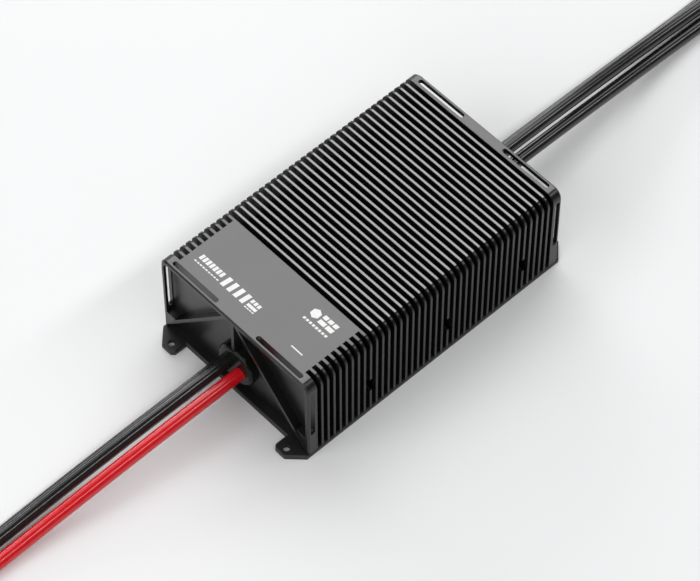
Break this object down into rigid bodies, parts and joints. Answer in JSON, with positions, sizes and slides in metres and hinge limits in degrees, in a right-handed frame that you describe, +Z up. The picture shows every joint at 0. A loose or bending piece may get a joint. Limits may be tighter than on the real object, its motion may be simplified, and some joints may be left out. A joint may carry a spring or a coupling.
{
  "type": "electronic speed controller",
  "caption": "Finned box-shaped motor speed controller with open shrouded ends, mounting ears, power and motor leads and a thin signal lead.",
  "frame": {"origin": "centre of the case's footprint on its mounting face", "axes": "+Y along the case towards the motor leads, +X across it, +Z up out of the mounting face; the battery and signal leads leave at -Y"},
  "size_m": [0.0926, 0.564, 0.0532],
  "materials": {
    "case_aluminium": "bead-blasted and black anodised, with lighter machined fin tops",
    "base_aluminium": "matte black anodised",
    "black_steel": "black oxide steel",
    "plated_steel": "zinc-plated steel",
    "gasket_rubber": "matt black silicone rubber",
    "grommet_rubber": "semi-gloss black moulded rubber",
    "red_silicone": "red silicone wire insulation",
    "black_silicone": "black silicone wire insulation",
    "circuit_board": "green solder mask on glass-epoxy laminate",
    "chip_epoxy": "moulded black epoxy",
    "copper": "bare copper bar",
    "gold_plate": "gold-plated brass",
    "capacitor_can": "sleeved aluminium can",
    "resistor_alloy": "resistance alloy strip",
    "thermal_pad": "soft grey-blue gap filler",
    "ferrite": "moulded ferrite",
    "red_sleeve": "red heat-shrink sleeve",
    "black_sleeve": "black heat-shrink sleeve",
    "plug_plastic": "moulded black nylon",
    "print_ink": "white screen-printed ink"
  },
  "bodies": {
    "root": {"housing_shell": "case_aluminium", "base_plate": "base_aluminium", "base_gasket": "gasket_rubber", "side_screws": "black_steel", "input_grommet": "grommet_rubber", "output_grommet": "grommet_rubber", "power_board": "circuit_board", "control_board": "circuit_board", "power_board_screws": "plated_steel", "board_spacers": "plated_steel", "control_board_screws": "plated_steel", "mosfets": "chip_epoxy", "thermal_pad": "thermal_pad", "capacitors": "capacitor_can", "positive_bus_bar": "copper", "negative_bus_bar": "copper", "phase_bar_a": "copper", "phase_bar_b": "copper", "phase_bar_c": "copper", "current_shunts": "resistor_alloy", "gate_drivers": "chip_epoxy", "microcontroller": "chip_epoxy", "supply_inductor": "ferrite", "supply_regulator": "chip_epoxy", "board_header": "plug_plastic", "signal_socket": "plug_plastic", "positive_lead_tail": "red_silicone", "negative_lead_tail": "black_silicone", "signal_lead_tail": "black_silicone", "phase_lead_tails": "black_silicone", "positive_lead": "red_silicone", "positive_bullet": "gold_plate", "positive_sleeve": "red_sleeve", "negative_lead": "black_silicone", "negative_bullet": "gold_plate", "negative_sleeve": "black_sleeve", "phase_a_lead": "black_silicone", "phase_a_bullet": "gold_plate", "phase_a_sleeve": "black_sleeve", "phase_b_lead": "black_silicone", "phase_b_bullet": "gold_plate", "phase_b_sleeve": "black_sleeve", "phase_c_lead": "black_silicone", "phase_c_bullet": "gold_plate", "phase_c_sleeve": "black_sleeve", "signal_lead": "black_silicone", "signal_plug": "plug_plastic", "signal_contacts": "gold_plate"}
  },
  "joints": []
}
